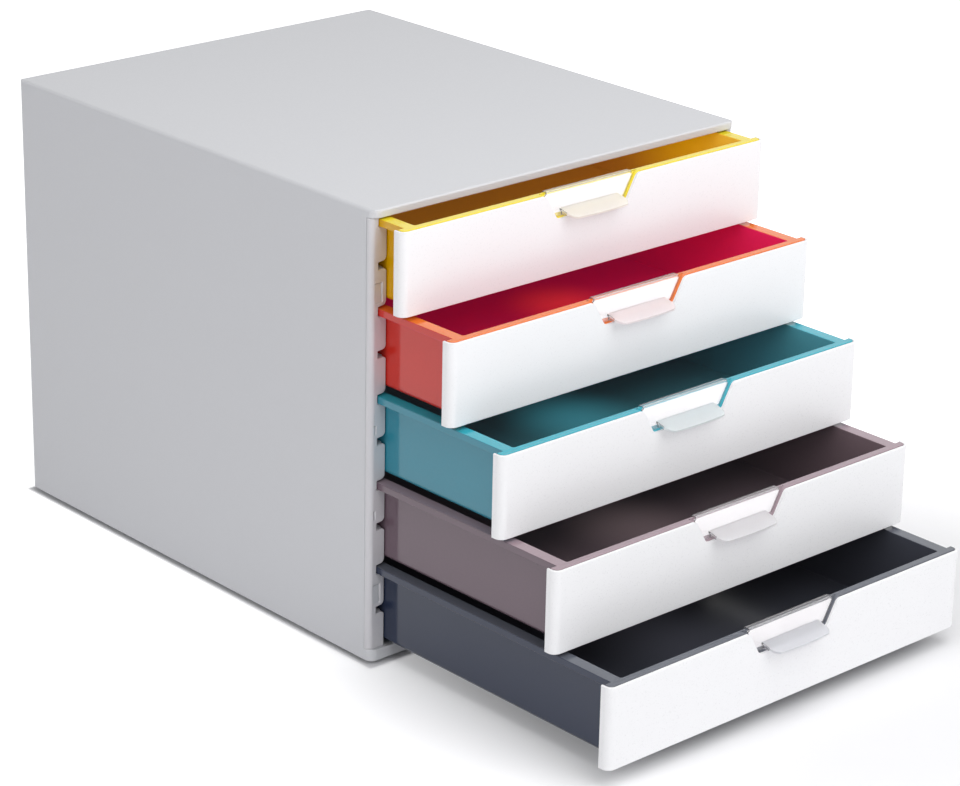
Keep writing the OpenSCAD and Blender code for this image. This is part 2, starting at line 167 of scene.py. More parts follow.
housingLook = {
    "name": "satinGreyPolystyrene", "colour": "#cccdd1", "colourFar": "#cacbcf",
    "grainSize": 1.4, "grainDepth": 0.012, "roughness": 0.42, "roughnessSpread": 0.03, "ior": 1.59}
backLook = {
    **housingLook, "name": "satinGreyBackSheet", "colour": "#c2c4c8", "colourFar": "#bfc1c5"}
railLook = {
    "name": "smoothGreyPolystyrene", "colour": "#cdccd0", "colourFar": "#cac9cd",
    "grainSize": 1.2, "grainDepth": 0.008, "roughness": 0.3, "roughnessSpread": 0.03, "ior": 1.59}
coverLook = {
    "name": "glossWhiteAbs", "colour": "#eeeef0", "colourFar": "#ededef",
    "grainSize": 0.9, "grainDepth": 0.0015, "roughness": 0.28, "roughnessSpread": 0.01, "ior": 1.53}

# Polished, dyed through. The walls show the dye. The rim's colour is painted light: it is painted
# lighter than the walls. The inside's colour is painted light too, standing in for light bouncing
# from wall to
# wall: lighter than the walls and deeper in hue. The inside also has a painted glow, an emission
# that stands in for light coming in through the walls. The floor glows more than a real one, so the
# outsides mirror it less than their index says.
trayGloss = {
    "grainSize": 2.0, "grainDepth": 0.0015, "roughness": 0.09, "roughnessSpread": 0.02, "ior": 1.59}
insideGloss = {**trayGloss, "roughness": 0.2, "roughnessSpread": 0.03}
outsideGloss = {**trayGloss, "mirroring": 0.34}
# per tray: the walls' dye, the painted-light colours of the inside and the rim, the tongue's
# painted tint of the tray's colour, and the inside's painted glow
trayDyesAndPaintedLight = [
    {"name": "Yellow", "slot": "tray_yellow", "wall": "#dca602", "inside": "#ffd050",
     "rim": "#f0da2c", "tongue": "#fdfaf3",
     "paintedGlow": {"all": "#422a0e", "paintedGlowPatch": "#846400", "right": 131, "back": 45, "up": 40,
               "radius": 75}},
    {"name": "OrangeRed", "slot": "tray_orange_red", "wall": "#cb3026", "inside": "#f42c64",
     "rim": "#e87830", "tongue": "#fcf4f5",
     "paintedGlow": {"all": "#3e0622", "paintedGlowPatch": "#8c1f22", "right": 40, "back": 105, "up": 3,
               "radius": 45}},
    {"name": "Teal", "slot": "tray_teal", "wall": "#33879b", "inside": "#58a4b2",
     "rim": "#36aabb", "tongue": "#eef3f4",
     "paintedGlow": {"all": "#101013", "paintedGlowPatch": "#2a5f69", "right": 8, "back": 102, "up": 3,
               "radius": 52}},
    {"name": "Taupe", "slot": "tray_taupe", "wall": "#6c5a64", "inside": "#7e6c72",
     "rim": "#a08c94", "tongue": "#efeef0",
     "paintedGlow": {"all": "#0b0a0b", "paintedGlowPatch": "#413839", "right": 8, "back": 95, "up": 3,
               "radius": 52}},
    {"name": "Anthracite", "slot": "tray_anthracite", "wall": "#2c3449", "inside": "#4c4e58",
     "rim": "#5e626c", "tongue": "#e6e7eb",
     "paintedGlow": {"all": "#050506", "paintedGlowPatch": "#232328", "right": -2, "back": 92, "up": 3,
               "radius": 60}},
]
dyeAndPaintedLightZones = ["wall", "inside", "rim"]
grainShade = 0.97  # the darker tone of a tray's grain, as a share of its dye


def darkened(hexColour, share):
    return "#" + "".join("%02x" % int(int(hexColour[i:i + 2], 16) * share) for i in (1, 3, 5))


def trayMaterials(dyeAndPaintedLight, coverCorner):
    # the painted glow's patch centre is given in mm: right of the middle, behind the cover and up
    # from its foot
    paintedGlowPatch = dyeAndPaintedLight["paintedGlow"]
    centre = Vector((0, coverCorner.y, coverCorner.z)) + Vector(
        [paintedGlowPatch[name] * millimetre for name in ("right", "back", "up")])
    glosses = {"wall": outsideGloss, "rim": trayGloss,
               "inside": {**insideGloss, "paintedGlow": {**paintedGlowPatch, "centre": centre}}}
    return [mouldedPlastic({
        **glosses[zone], "name": f"gloss{dyeAndPaintedLight['name']}Polystyrene_{zone}", "colour": dyeAndPaintedLight[zone],
        "colourFar": darkened(dyeAndPaintedLight[zone], grainShade)}) for zone in dyeAndPaintedLightZones]


# Clear polystyrene. The window comes from polished steel and shows its card plainly. The tongue has
# a satin skin, which spreads the light, and each tongue is tinted with a painted reflection of its
# tray's colour. The polish of both varies a little over 12 mm. Lamps reach what lies behind them,
# weakened, as through a real window.
windowLook = {
    "name": "clearPolystyrene", "tint": "#fefdfe", "shade": "#f2f0f1", "clear": 0.95, "ior": 1.59,
    "roughness": 0.06, "roughnessSpread": 0.02, "cloudSize": 12, "cloudDetail": 1.0}
tongueLook = {
    **windowLook, "shade": "#b4b0b3", "clear": 0.6, "roughness": 0.32, "roughnessSpread": 0.04}


def clearPlastic(look):
    material, tree = startMaterial(look["name"])
    place = addNode(tree, "ShaderNodeTexCoord").outputs["Object"]
    cloud = addNode(tree, "ShaderNodeTexNoise", links={
        "Vector": place, "Scale": perMetre(look["cloudSize"]), "Detail": look["cloudDetail"]})
    plastic = addNode(tree, "ShaderNodeBsdfPrincipled", links={
        "Base Color": linearColour(look["tint"]), "IOR": look["ior"],
        "Roughness": unevenGloss(tree, cloud.outputs["Fac"], look),
        "Transmission Weight": look["clear"]})
    through = addNode(tree, "ShaderNodeBsdfTransparent", links={
        "Color": linearColour(look["shade"])})
    path = addNode(tree, "ShaderNodeLightPath")
    mixed = addNode(tree, "ShaderNodeMixShader", links={
        "Fac": path.outputs["Is Shadow Ray"], "Shader": plastic.outputs["BSDF"],
        "Shader_001": through.outputs["BSDF"]})
    finishMaterial(tree, mixed.outputs["Shader"])
    return material


# Uncoated card, calendered: matt and faintly fibrous. Real fibres are 0.02 mm wide and are drawn as
# clumps of about 1 mm.
cardLook = {
    "name": "uncoatedCard", "colour": "#fafafb", "colourFar": "#f3f3f3", "grainSize": 1.0,
    "grainDepth": 0.01, "detail": 5.0, "twist": 1.5, "roughness": 0.9}

# Moulded rubber: dark, matt and slightly pitted, with pits of about 0.8 mm.
rubberLook = {
    "name": "mouldedRubber", "colour": "#2c2c2e", "colourFar": "#3a3a3c", "grainSize": 0.8,
    "grainDepth": 0.06, "detail": 4.0, "roughness": 0.78}


def mattSurface(look):
    material, tree = startMaterial(look["name"])
    place = addNode(tree, "ShaderNodeTexCoord").outputs["Object"]
    tone, relief = grainedSkin(tree, place, look)[1:]
    shader = addNode(tree, "ShaderNodeBsdfPrincipled", links={
        "Base Color": tone, "Roughness": look["roughness"], "Normal": relief})
    finishMaterial(tree, shader.outputs["BSDF"])
    return material


satinGrey = mouldedPlastic(housingLook)
backGrey = mouldedPlastic(backLook)
smoothGrey = mouldedPlastic(railLook)
glossWhite = mouldedPlastic(coverLook)
clearWindow = clearPlastic(windowLook)
labelPaper = mattSurface(cardLook)
footRubber = mattSurface(rubberLook)
print("materials made:", len(bpy.data.materials))


# An edge is broken if it is sharper than edgeFrom and the faces beside it reach room times its
# width. It runs back if more than runsBack of its direction does, and across below runsAcross.
finishing = {
    "mergeDistance": 0.03 * millimetre, "flatWithin": math.radians(0.6),
    "edgeFrom": math.radians(32), "smoothBelow": math.radians(40), "edgeSegments": 3, "room": 1.6,
    "runsBack": 0.9, "runsAcross": 0.5}


def roomBeside(face, edge):
    # how far a face reaches from one of its edges
    start, end = [vert.co for vert in edge.verts]
    inward = face.normal.cross((end - start).normalized())
    if (face.calc_center_median() - start).dot(inward) < 0:
        inward = -inward
    return max((vert.co - start).dot(inward) for vert in face.verts)


def brokenWidth(edge, edges):
    # in mm, and none for an edge that stays sharp
    middle = (edge.verts[0].co + edge.verts[1].co) / 2
    if len(edge.link_faces) != 2 or edge.calc_face_angle(0) < finishing["edgeFrom"]:
        return 0.0
    if middle.y > edges.get("behind", math.inf) or middle.z > edges.get("under", math.inf):
        return 0.0
    along = (edge.verts[1].co - edge.verts[0].co).normalized()
    isSoft = "isSoft" in edges and edges["isSoft"](middle, along)
    for width in ([edges["soft"]] if isSoft else []) + [edges["width"]]:
        if all(roomBeside(face, edge) >= finishing["room"] * width * millimetre
               for face in edge.link_faces):
            return width
    return 0.0


def finishEdges(piece, width, settings):
    # the broken edges, and a shading that keeps the flat faces between them flat
    if width:
        bevel = piece.modifiers.new("brokenEdges", "BEVEL")
        bevel.width = width * millimetre
        bevel.segments = finishing["edgeSegments"]
        for name, value in settings.items():
            setattr(bevel, name, value)
    shading = piece.modifiers.new("flatFacesFlat", "WEIGHTED_NORMAL")
    shading.keep_sharp = True


def finishedCopy(nodeName, pieceName, edges, body, materials, chooseMaterial=None):
    # a merged copy of a solid, with its flat faces whole and its edges broken
    mesh = frame["nodes"][nodeName].data.copy()
    mesh.name = pieceName
    mesh.materials.clear()
    for material in materials:
        mesh.materials.append(material)
    work = bmesh.new()
    work.from_mesh(mesh)
    bmesh.ops.remove_doubles(work, verts=work.verts, dist=finishing["mergeDistance"])
    bmesh.ops.dissolve_limit(
        work, angle_limit=finishing["flatWithin"], verts=work.verts, edges=work.edges)
    work.normal_update()
    broken = work.edges.layers.float.new("bevel_weight_edge")
    widest = max(edges["width"], edges.get("soft", 0.0))
    for edge in work.edges:
        edge[broken] = brokenWidth(edge, edges) / widest if widest else 0.0
    for face in work.faces:
        face.smooth = True
        face.material_index = chooseMaterial(face) if chooseMaterial else 0
    work.to_mesh(mesh)
    work.free()
    mesh.set_sharp_from_angle(angle=finishing["smoothBelow"])
    piece = newObject(pieceName, mesh)
    finishEdges(piece, widest, {
        "limit_method": "WEIGHT", "use_clamp_overlap": False, "loop_slide": False})
    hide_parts(nodeName)
    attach(piece, body)


# In mm. The edges round the housing's mouth, as far back as mouthDepth, are softer than the rest.
# Those within crest of its top and those over plateDepth behind the rail panels' fronts stay sharp.
shellLow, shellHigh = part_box("housing_shell")
housingEdges = {
    "shell": 0.5, "mouth": 0.8, "mouthDepth": 0.1, "crest": 0.05, "back": 0.3, "rail": 0.6,
    "plateDepth": 3.5}


def isAtMouth(middle, along):
    return (abs(along.y) < finishing["runsAcross"]
            and middle.y < shellLow.y + housingEdges["mouthDepth"] * millimetre)


finishedCopy("housing_shell", "housingShell",
             {"width": housingEdges["shell"], "soft": housingEdges["mouth"], "isSoft": isAtMouth,
              "under": shellHigh.z - housingEdges["crest"] * millimetre},
             "housing", [satinGrey])
finishedCopy("back_panel", "backPanel", {"width": housingEdges["back"]}, "housing",
             [backGrey])
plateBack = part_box("left_rail_panel")[0].y + housingEdges["plateDepth"] * millimetre
for side in ("left", "right"):
    finishedCopy(f"{side}_rail_panel", f"{side}RailPanel",
                 {"width": housingEdges["rail"], "behind": plateBack}, "housing",
                 [smoothGrey])


# Pieces that repeat are made by Geometry Nodes, from a tree with named sizes
def startGeometry(name, sizes):
    tree = bpy.data.node_groups.new(name, "GeometryNodeTree")
    tree.is_modifier = True
    for label, value in sizes.items():
        kind = "NodeSocketInt" if isinstance(value, int) else "NodeSocketFloat"
        tree.interface.new_socket(label, in_out="INPUT", socket_type=kind).default_value = value
    tree.interface.new_socket("Geometry", in_out="OUTPUT", socket_type="NodeSocketGeometry")
    return tree, tree.nodes.new("NodeGroupInput").outputs


def finishGeometry(tree, geometry, material):
    whole = addNode(tree, "GeometryNodeRealizeInstances", links={"Geometry": geometry})
    dressed = addNode(tree, "GeometryNodeSetMaterial", links={
        "Geometry": whole.outputs["Geometry"], "Material": material})
    addNode(tree, "NodeGroupOutput", links={"Geometry": dressed.outputs["Geometry"]})


def meshFromTree(tree, sizes, name):
    # runs the tree once with these sizes and keeps what it makes as a plain mesh
    carrier = newObject(name + "Carrier", bpy.data.meshes.new(name + "Carrier"))
    rule = carrier.modifiers.new("rule", "NODES")
    rule.node_group = tree
    for item in tree.interface.items_tree:
        if item.in_out == "INPUT":
            rule[item.identifier] = sizes[item.name]
    graph = bpy.context.evaluated_depsgraph_get()
    mesh = bpy.data.meshes.new_from_object(carrier.evaluated_get(graph), depsgraph=graph)
    mesh.name = name
    carrier.modifiers.remove(rule)
    bpy.data.objects.remove(carrier)
    return mesh


def polyline(tree, corners):
    # a curve through corners given as (side, x, y), where the side is -1 or 1
    line = addNode(tree, "GeometryNodeMeshLine", links={"Count": len(corners)})
    chosen = addNode(tree, "GeometryNodeIndexSwitch", {"data_type": "VECTOR"}, {
        "Index": addNode(tree, "GeometryNodeInputIndex").outputs["Index"]})
    while len(chosen.index_switch_items) < len(corners):
        chosen.index_switch_items.new()
    for item, (side, x, y) in zip(chosen.index_switch_items, corners):
        corner = addNode(tree, "ShaderNodeCombineXYZ", links={"X": x, "Y": y})
        mirrored = addNode(tree, "ShaderNodeVectorMath", {"operation": "MULTIPLY"}, {
            "Vector": corner.outputs["Vector"], "Vector_001": (side, 1, 1)})
        tree.links.new(
            mirrored.outputs["Vector"], socketOf(chosen.inputs, f"Item_{item.identifier}"))
    placed = addNode(tree, "GeometryNodeSetPosition", links={
        "Geometry": line.outputs["Mesh"], "Position": chosen.outputs["Output"]})
    return addNode(tree, "GeometryNodeMeshToCurve", links={"Mesh": placed.outputs["Geometry"]})


# Four turned feet, one at each corner of a rectangle, in mm
feetLow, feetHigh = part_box("rubber_feet")
footLook = {"radius": 8, "brokenEdge": 0.6, "sides": 64, "ringSpan": 0.1}
footRadius = footLook["radius"] * millimetre
footHeight = feetHigh.z - feetLow.z
feetSizes = {
    "Radius": footRadius, "Height": footHeight, "Half Height": footHeight / 2,
    "Shoulder Move": footLook["brokenEdge"] * millimetre - footHeight / 2,
    "Narrowing": 1 - footLook["brokenEdge"] / footLook["radius"],
    "Span X": feetHigh.x - feetLow.x - 2 * footRadius,
    "Span Y": feetHigh.y - feetLow.y - 2 * footRadius,
    "Ring Span": footLook["ringSpan"] * millimetre, "Sides": footLook["sides"]}


def turnedFeet(sizes):
    # a cylinder of three rings: the middle one becomes the shoulder and the lowest is drawn in
    tree, given = startGeometry("turnedFeet", sizes)
    foot = addNode(tree, "GeometryNodeMeshCylinder", links={
        "Vertices": given["Sides"], "Side Segments": 2, "Radius": given["Radius"],
        "Depth": given["Height"]})
    position = addNode(tree, "GeometryNodeInputPosition").outputs["Position"]
    height = addNode(tree, "ShaderNodeSeparateXYZ", links={"Vector": position}).outputs["Z"]
    isMiddle = addNode(tree, "ShaderNodeMath", {"operation": "COMPARE"}, {
        "Value": height, "Value_001": 0.0, "Value_002": given["Ring Span"]})
    lowered = addNode(tree, "ShaderNodeCombineXYZ", links={"Z": given["Shoulder Move"]})
    withShoulder = addNode(tree, "GeometryNodeSetPosition", links={
        "Geometry": foot.outputs["Mesh"], "Selection": isMiddle.outputs["Value"],
        "Offset": lowered.outputs["Vector"]})
    isLow = addNode(tree, "ShaderNodeMath", {"operation": "LESS_THAN"}, {
        "Value": height, "Value_001": addNode(tree, "ShaderNodeMath", {"operation": "SUBTRACT"}, {
            "Value": given["Shoulder Move"], "Value_001": given["Ring Span"]}).outputs["Value"]})
    drawnIn = addNode(tree, "ShaderNodeVectorMath", {"operation": "MULTIPLY"}, {
        "Vector": position, "Vector_001": addNode(tree, "ShaderNodeCombineXYZ", links={
            "X": given["Narrowing"], "Y": given["Narrowing"], "Z": 1.0}).outputs["Vector"]})
    turned = addNode(tree, "GeometryNodeSetPosition", links={
        "Geometry": withShoulder.outputs["Geometry"], "Selection": isLow.outputs["Value"],
        "Position": drawnIn.outputs["Vector"]})
    standing = addNode(tree, "GeometryNodeTransform", links={
        "Geometry": turned.outputs["Geometry"],
        "Translation": addNode(tree, "ShaderNodeCombineXYZ", links={
            "Z": given["Half Height"]}).outputs["Vector"]})
    corners = addNode(tree, "GeometryNodeMeshGrid", links={
        "Size X": given["Span X"], "Size Y": given["Span Y"], "Vertices X": 2, "Vertices Y": 2})
    four = addNode(tree, "GeometryNodeInstanceOnPoints", links={
        "Points": corners.outputs["Mesh"], "Instance": standing.outputs["Geometry"]})
    finishGeometry(tree, four.outputs["Instances"], footRubber)
    return tree


def ridingPiece(name, mesh, body):
    mesh.set_sharp_from_angle(angle=finishing["smoothBelow"])
    piece = newObject(name, mesh)
    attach(piece, body)
    return piece


feet = ridingPiece("rubberFeet", meshFromTree(turnedFeet(feetSizes), feetSizes, "rubberFeet"),
                   "housing")
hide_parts("rubber_feet")

# The clips that hold the rail panels show in windows of two sizes, two of each at each side. Each
# ends in a slanted nose, flush with the plate at its low outer corner. All in mm.
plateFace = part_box("left_rail_panel")[0].y
clipNose = {"thick": 0.9, "slant": 0.8, "rows": 2}
clipRows = [
    {"name": "wideClips", "width": 5.2, "height": 11.1, "x": -140.6, "z": 231.9, "step": -186.9},
    {"name": "slimClips", "width": 1.4, "height": 4.7, "x": -142.5, "z": 148.6, "step": -53.4},
]


def clipNoses(sizes):
    tree, given = startGeometry("clipNoses", sizes)
    block = addNode(tree, "GeometryNodeMeshCube", links={
        "Size": addNode(tree, "ShaderNodeCombineXYZ", links={
            "X": given["Width"], "Y": given["Thick"], "Z": given["Height"]}).outputs["Vector"]})
    position = addNode(tree, "GeometryNodeInputPosition").outputs["Position"]
    fall = addNode(tree, "ShaderNodeVectorMath", {"operation": "DOT_PRODUCT"}, {
        "Vector": position, "Vector_001": addNode(tree, "ShaderNodeCombineXYZ", links={
            "X": given["Fall Across"], "Z": given["Fall Up"]}).outputs["Vector"]})
    back = addNode(tree, "ShaderNodeMath", {"operation": "ADD"}, {
        "Value": fall.outputs["Value"], "Value_001": given["Fall At Middle"]})
    isFront = addNode(tree, "ShaderNodeMath", {"operation": "LESS_THAN"}, {
        "Value": addNode(tree, "ShaderNodeSeparateXYZ", links={"Vector": position}).outputs["Y"],
        "Value_001": 0.0})
    nose = addNode(tree, "GeometryNodeSetPosition", links={
        "Geometry": block.outputs["Mesh"], "Selection": isFront.outputs["Value"],
        "Offset": addNode(tree, "ShaderNodeCombineXYZ", links={
            "Y": back.outputs["Value"]}).outputs["Vector"]})
    row = addNode(tree, "GeometryNodeMeshLine", links={
        "Count": given["Rows"],
        "Start Location": addNode(tree, "ShaderNodeCombineXYZ", links={
            "X": given["Start X"], "Y": given["Start Y"], "Z": given["Start Z"]}).outputs["Vector"],
        "Offset": addNode(tree, "ShaderNodeCombineXYZ", links={
            "Z": given["Step"]}).outputs["Vector"]})
    noses = addNode(tree, "GeometryNodeInstanceOnPoints", links={
        "Points": row.outputs["Mesh"], "Instance": nose.outputs["Geometry"]})
    left = addNode(tree, "GeometryNodeRealizeInstances", links={
        "Geometry": noses.outputs["Instances"]})
    mirrored = addNode(tree, "GeometryNodeTransform", links={
        "Geometry": left.outputs["Geometry"], "Scale": (-1.0, 1.0, 1.0)})
    right = addNode(tree, "GeometryNodeFlipFaces", links={"Mesh": mirrored.outputs["Geometry"]})
    both = addNode(tree, "GeometryNodeJoinGeometry", links={
        "Geometry": [left.outputs["Geometry"], right.outputs["Mesh"]]})
    finishGeometry(tree, both.outputs["Geometry"], satinGrey)
    return tree


for row in clipRows:
    sizes = {
        "Width": row["width"] * millimetre, "Height": row["height"] * millimetre,
        "Thick": clipNose["thick"] * millimetre, "Rows": clipNose["rows"],
        "Fall Across": clipNose["slant"] / row["width"] / 2,
        "Fall Up": clipNose["slant"] / row["height"] / 2,
        "Fall At Middle": clipNose["slant"] * millimetre / 2, "Start X": row["x"] * millimetre,
        "Start Y": plateFace + clipNose["thick"] * millimetre / 2,
        "Start Z": row["z"] * millimetre, "Step": row["step"] * millimetre}
    ridingPiece(row["name"], meshFromTree(clipNoses(sizes), sizes, row["name"]), "housing")
print("housing finished")

# The faces inside a tray are those that line the space it is used for, with the wall's draft
# allowed for. A face looks up if more than looksUp of its normal does. A rim's soft edges lie in
# its top softDepth, at most softInset in from its sides.
drawerEdges = {"tray": 0.4, "rim": 0.8, "notch": 0.35, "card": 0.0, "grip": 0.25}  # mm
trayFaces = {
    "reach": 1.7 * millimetre, "belowRim": 0.3 * millimetre, "rimDepth": 0.6 * millimetre,
    "frontFrame": 0.5 * millimetre, "looksUp": 0.5, "softDepth": 2 * millimetre,
    "softInset": 0.3 * millimetre}


def paintedLightZoneOf(opening, rimTop):
    # which of a tray's three colour zones a face lies in: the wall, with the dye, or the rim and
    # the inside, whose colours are painted light
    low, high = [Vector(corner) for corner in opening["box_m"]]
    low -= Vector((1, 1, 1)) * trayFaces["reach"]
    high += Vector((trayFaces["reach"], trayFaces["reach"], trayFaces["belowRim"]))

    def choose(face):
        centre = face.calc_center_median()
        # upward faces at the top, and the front frame, take the rim's painted lighter colour
        if face.normal.z > trayFaces["looksUp"] and centre.z > rimTop - trayFaces["rimDepth"]:
            return dyeAndPaintedLightZones.index("rim")
        if centre.y < low.y - trayFaces["frontFrame"]:
            return dyeAndPaintedLightZones.index("rim")
        inside = all(low[i] <= centre[i] <= high[i] for i in range(3))
        return dyeAndPaintedLightZones.index("inside" if inside else "wall")

    return choose


def rimEdge(trayBox):
    # picks the long upper edges of a rim, which are rounder than the rest
    low, high = trayBox

    def isSoft(middle, along):
        return (abs(along.y) > finishing["runsBack"] and middle.z > high.z - trayFaces["softDepth"]
                and max(middle.x - high.x, low.x - middle.x) > -trayFaces["softInset"])

    return isSoft


# A front cover is a strip that follows a path: round one end of the tray's front, across it and
# round the other. The notch is cut out of its top edge, by a prism whose upper corners lie just
# above it, and four small clips hold the cover inside its ends. Lengths in mm.
coverShape = {
    "thickness": 1.6, "cornerRadius": 5, "cornerSegments": 14, "edgeRadius": 0.5, "edgeSegments": 4,
    "notchTop": 74, "notchFloor": 56, "notchDepth": 15.8, "notchRadius": 5, "aboveEdge": 0.02,
    "seam": 0.001, "clipDepth": 1, "clipHeight": 10}


def coverSizes(low, high):
    shape = {name: value * millimetre for name, value in coverShape.items()}
    middle = shape["thickness"] / 2
    wrap, height = high.y - low.y, high.z - low.z
    return {
        "Half Span": high.x - middle, "Front Inset": middle, "Wrap": wrap,
        "Path Radius": shape["cornerRadius"] - middle, "Thickness": shape["thickness"],
        "Height": height, "Half Height": height / 2, "Edge Radius": shape["edgeRadius"],
        "Notch Top": shape["notchTop"] / 2, "Notch Floor": shape["notchFloor"] / 2,
        "Notch Level": height - shape["notchDepth"], "Notch Radius": shape["notchRadius"],
        "Clear Level": height + shape["aboveEdge"], "Clear Half": shape["notchTop"],
        "Clear Top": height + shape["notchTop"], "Seam": shape["seam"],
        "Corner Segments": coverShape["cornerSegments"],
        "Edge Segments": coverShape["edgeSegments"],
        "Clip Span": 2 * (high.x - shape["thickness"] - middle), "Clip Rise": height / 2,
        "Clip Depth": shape["clipDepth"], "Clip Height": shape["clipHeight"],
        "Clip Place": wrap - shape["clipDepth"] / 2, "Front": low.y, "Level": low.z}


def wrappedCover(sizes):
    tree, given = startGeometry("wrappedCover", sizes)
    path = polyline(tree, [
        (-1, given["Half Span"], given["Wrap"]), (-1, given["Half Span"], given["Front Inset"]),
        (1, given["Half Span"], given["Front Inset"]), (1, given["Half Span"], given["Wrap"])])
    rounded = addNode(tree, "GeometryNodeFilletCurve", {"mode": "POLY"}, {
        "Curve": path.outputs["Curve"], "Count": given["Corner Segments"],
        "Radius": given["Path Radius"]})
    upright = addNode(tree, "GeometryNodeSetCurveNormal", {"mode": "Z_UP"}, {
        "Curve": rounded.outputs["Curve"]})
    strip = addNode(tree, "GeometryNodeCurvePrimitiveQuadrilateral", {"mode": "RECTANGLE"}, {
        "Width": given["Thickness"], "Height": given["Height"]})
    softStrip = addNode(tree, "GeometryNodeFilletCurve", {"mode": "POLY"}, {
        "Curve": strip.outputs["Curve"], "Count": given["Edge Segments"],
        "Radius": given["Edge Radius"]})
    wall = addNode(tree, "GeometryNodeCurveToMesh", links={
        "Curve": upright.outputs["Curve"], "Profile Curve": softStrip.outputs["Curve"],
        "Fill Caps": True})
    standing = addNode(tree, "GeometryNodeTransform", links={
        "Geometry": wall.outputs["Mesh"],
        "Translation": addNode(tree, "ShaderNodeCombineXYZ", links={
            "Z": given["Half Height"]}).outputs["Vector"]})
    opening = addNode(tree, "GeometryNodeSetSplineCyclic", links={
        "Cyclic": True, "Geometry": polyline(tree, [
            (-1, given["Clear Half"], given["Clear Level"]),
            (-1, given["Notch Top"], given["Clear Level"]),
            (-1, given["Notch Floor"], given["Notch Level"]),
            (1, given["Notch Floor"], given["Notch Level"]),
            (1, given["Notch Top"], given["Clear Level"]),
            (1, given["Clear Half"], given["Clear Level"]),
            (1, given["Clear Half"], given["Clear Top"]),
            (-1, given["Clear Half"], given["Clear Top"])]).outputs["Curve"]})
    softOpening = addNode(tree, "GeometryNodeFilletCurve", {"mode": "POLY"}, {
        "Curve": opening.outputs["Geometry"], "Count": given["Corner Segments"],
        "Radius": given["Notch Radius"]})
    sheet = addNode(tree, "GeometryNodeFillCurve", {"mode": "NGONS"}, {
        "Curve": softOpening.outputs["Curve"]})
    raised = addNode(tree, "GeometryNodeExtrudeMesh", {"mode": "FACES"}, {
        "Mesh": sheet.outputs["Mesh"], "Offset": (0, 0, 1), "Offset Scale": given["Wrap"]})
    underside = addNode(tree, "GeometryNodeFlipFaces", links={"Mesh": sheet.outputs["Mesh"]})
    prism = addNode(tree, "GeometryNodeJoinGeometry", links={
        "Geometry": [raised.outputs["Mesh"], underside.outputs["Mesh"]]})
    closed = addNode(tree, "GeometryNodeMergeByDistance", links={
        "Geometry": prism.outputs["Geometry"], "Distance": given["Seam"]})
    cutter = addNode(tree, "GeometryNodeTransform", links={
        "Geometry": closed.outputs["Geometry"], "Rotation": (math.pi / 2, 0, 0),
        "Translation": addNode(tree, "ShaderNodeCombineXYZ", links={
            "Y": given["Path Radius"]}).outputs["Vector"]})
    notched = addNode(tree, "GeometryNodeMeshBoolean", {
        "operation": "DIFFERENCE", "solver": "EXACT"}, {
        "Mesh 1": standing.outputs["Geometry"], "Mesh 2": cutter.outputs["Geometry"]})
    clip = addNode(tree, "GeometryNodeMeshCube", links={
        "Size": addNode(tree, "ShaderNodeCombineXYZ", links={
            "X": given["Thickness"], "Y": given["Clip Depth"],
            "Z": given["Clip Height"]}).outputs["Vector"]})
    grid = addNode(tree, "GeometryNodeMeshGrid", links={
        "Size X": given["Clip Span"], "Size Y": given["Clip Rise"], "Vertices X": 2,
        "Vertices Y": 2})
    clipPlaces = addNode(tree, "GeometryNodeTransform", links={
        "Geometry": grid.outputs["Mesh"], "Rotation": (math.pi / 2, 0, 0),
        "Translation": addNode(tree, "ShaderNodeCombineXYZ", links={
            "Y": given["Clip Place"], "Z": given["Half Height"]}).outputs["Vector"]})
    clips = addNode(tree, "GeometryNodeInstanceOnPoints", links={
        "Points": clipPlaces.outputs["Geometry"], "Instance": clip.outputs["Mesh"]})
    whole = addNode(tree, "GeometryNodeJoinGeometry", links={
        "Geometry": [notched.outputs["Mesh"], clips.outputs["Instances"]]})
    atDrawer = addNode(tree, "GeometryNodeTransform", links={
        "Geometry": whole.outputs["Geometry"],
        "Translation": addNode(tree, "ShaderNodeCombineXYZ", links={
            "Y": given["Front"], "Z": given["Level"]}).outputs["Vector"]})
    finishGeometry(tree, atDrawer.outputs["Geometry"], glossWhite)
    return tree


coverTree = wrappedCover(coverSizes(*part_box("front_cover_1")))


def frontCover(number, body):
    name = f"frontCover{number}"
    mesh = meshFromTree(coverTree, coverSizes(*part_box(f"front_cover_{number}")), name)
    for face in mesh.polygons:
        face.use_smooth = True
    piece = ridingPiece(name, mesh, body)
    finishEdges(piece, drawerEdges["notch"], {
        "limit_method": "ANGLE", "angle_limit": finishing["edgeFrom"]})
    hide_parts(f"front_cover_{number}")


tongueStart = 0.2 * millimetre  # how far in front of its cover a grip's tongue begins


def isTongue(coverFace):
    # the part of a grip that stands out in front of its cover
    return lambda face: int(face.calc_center_median().y < coverFace - tongueStart)


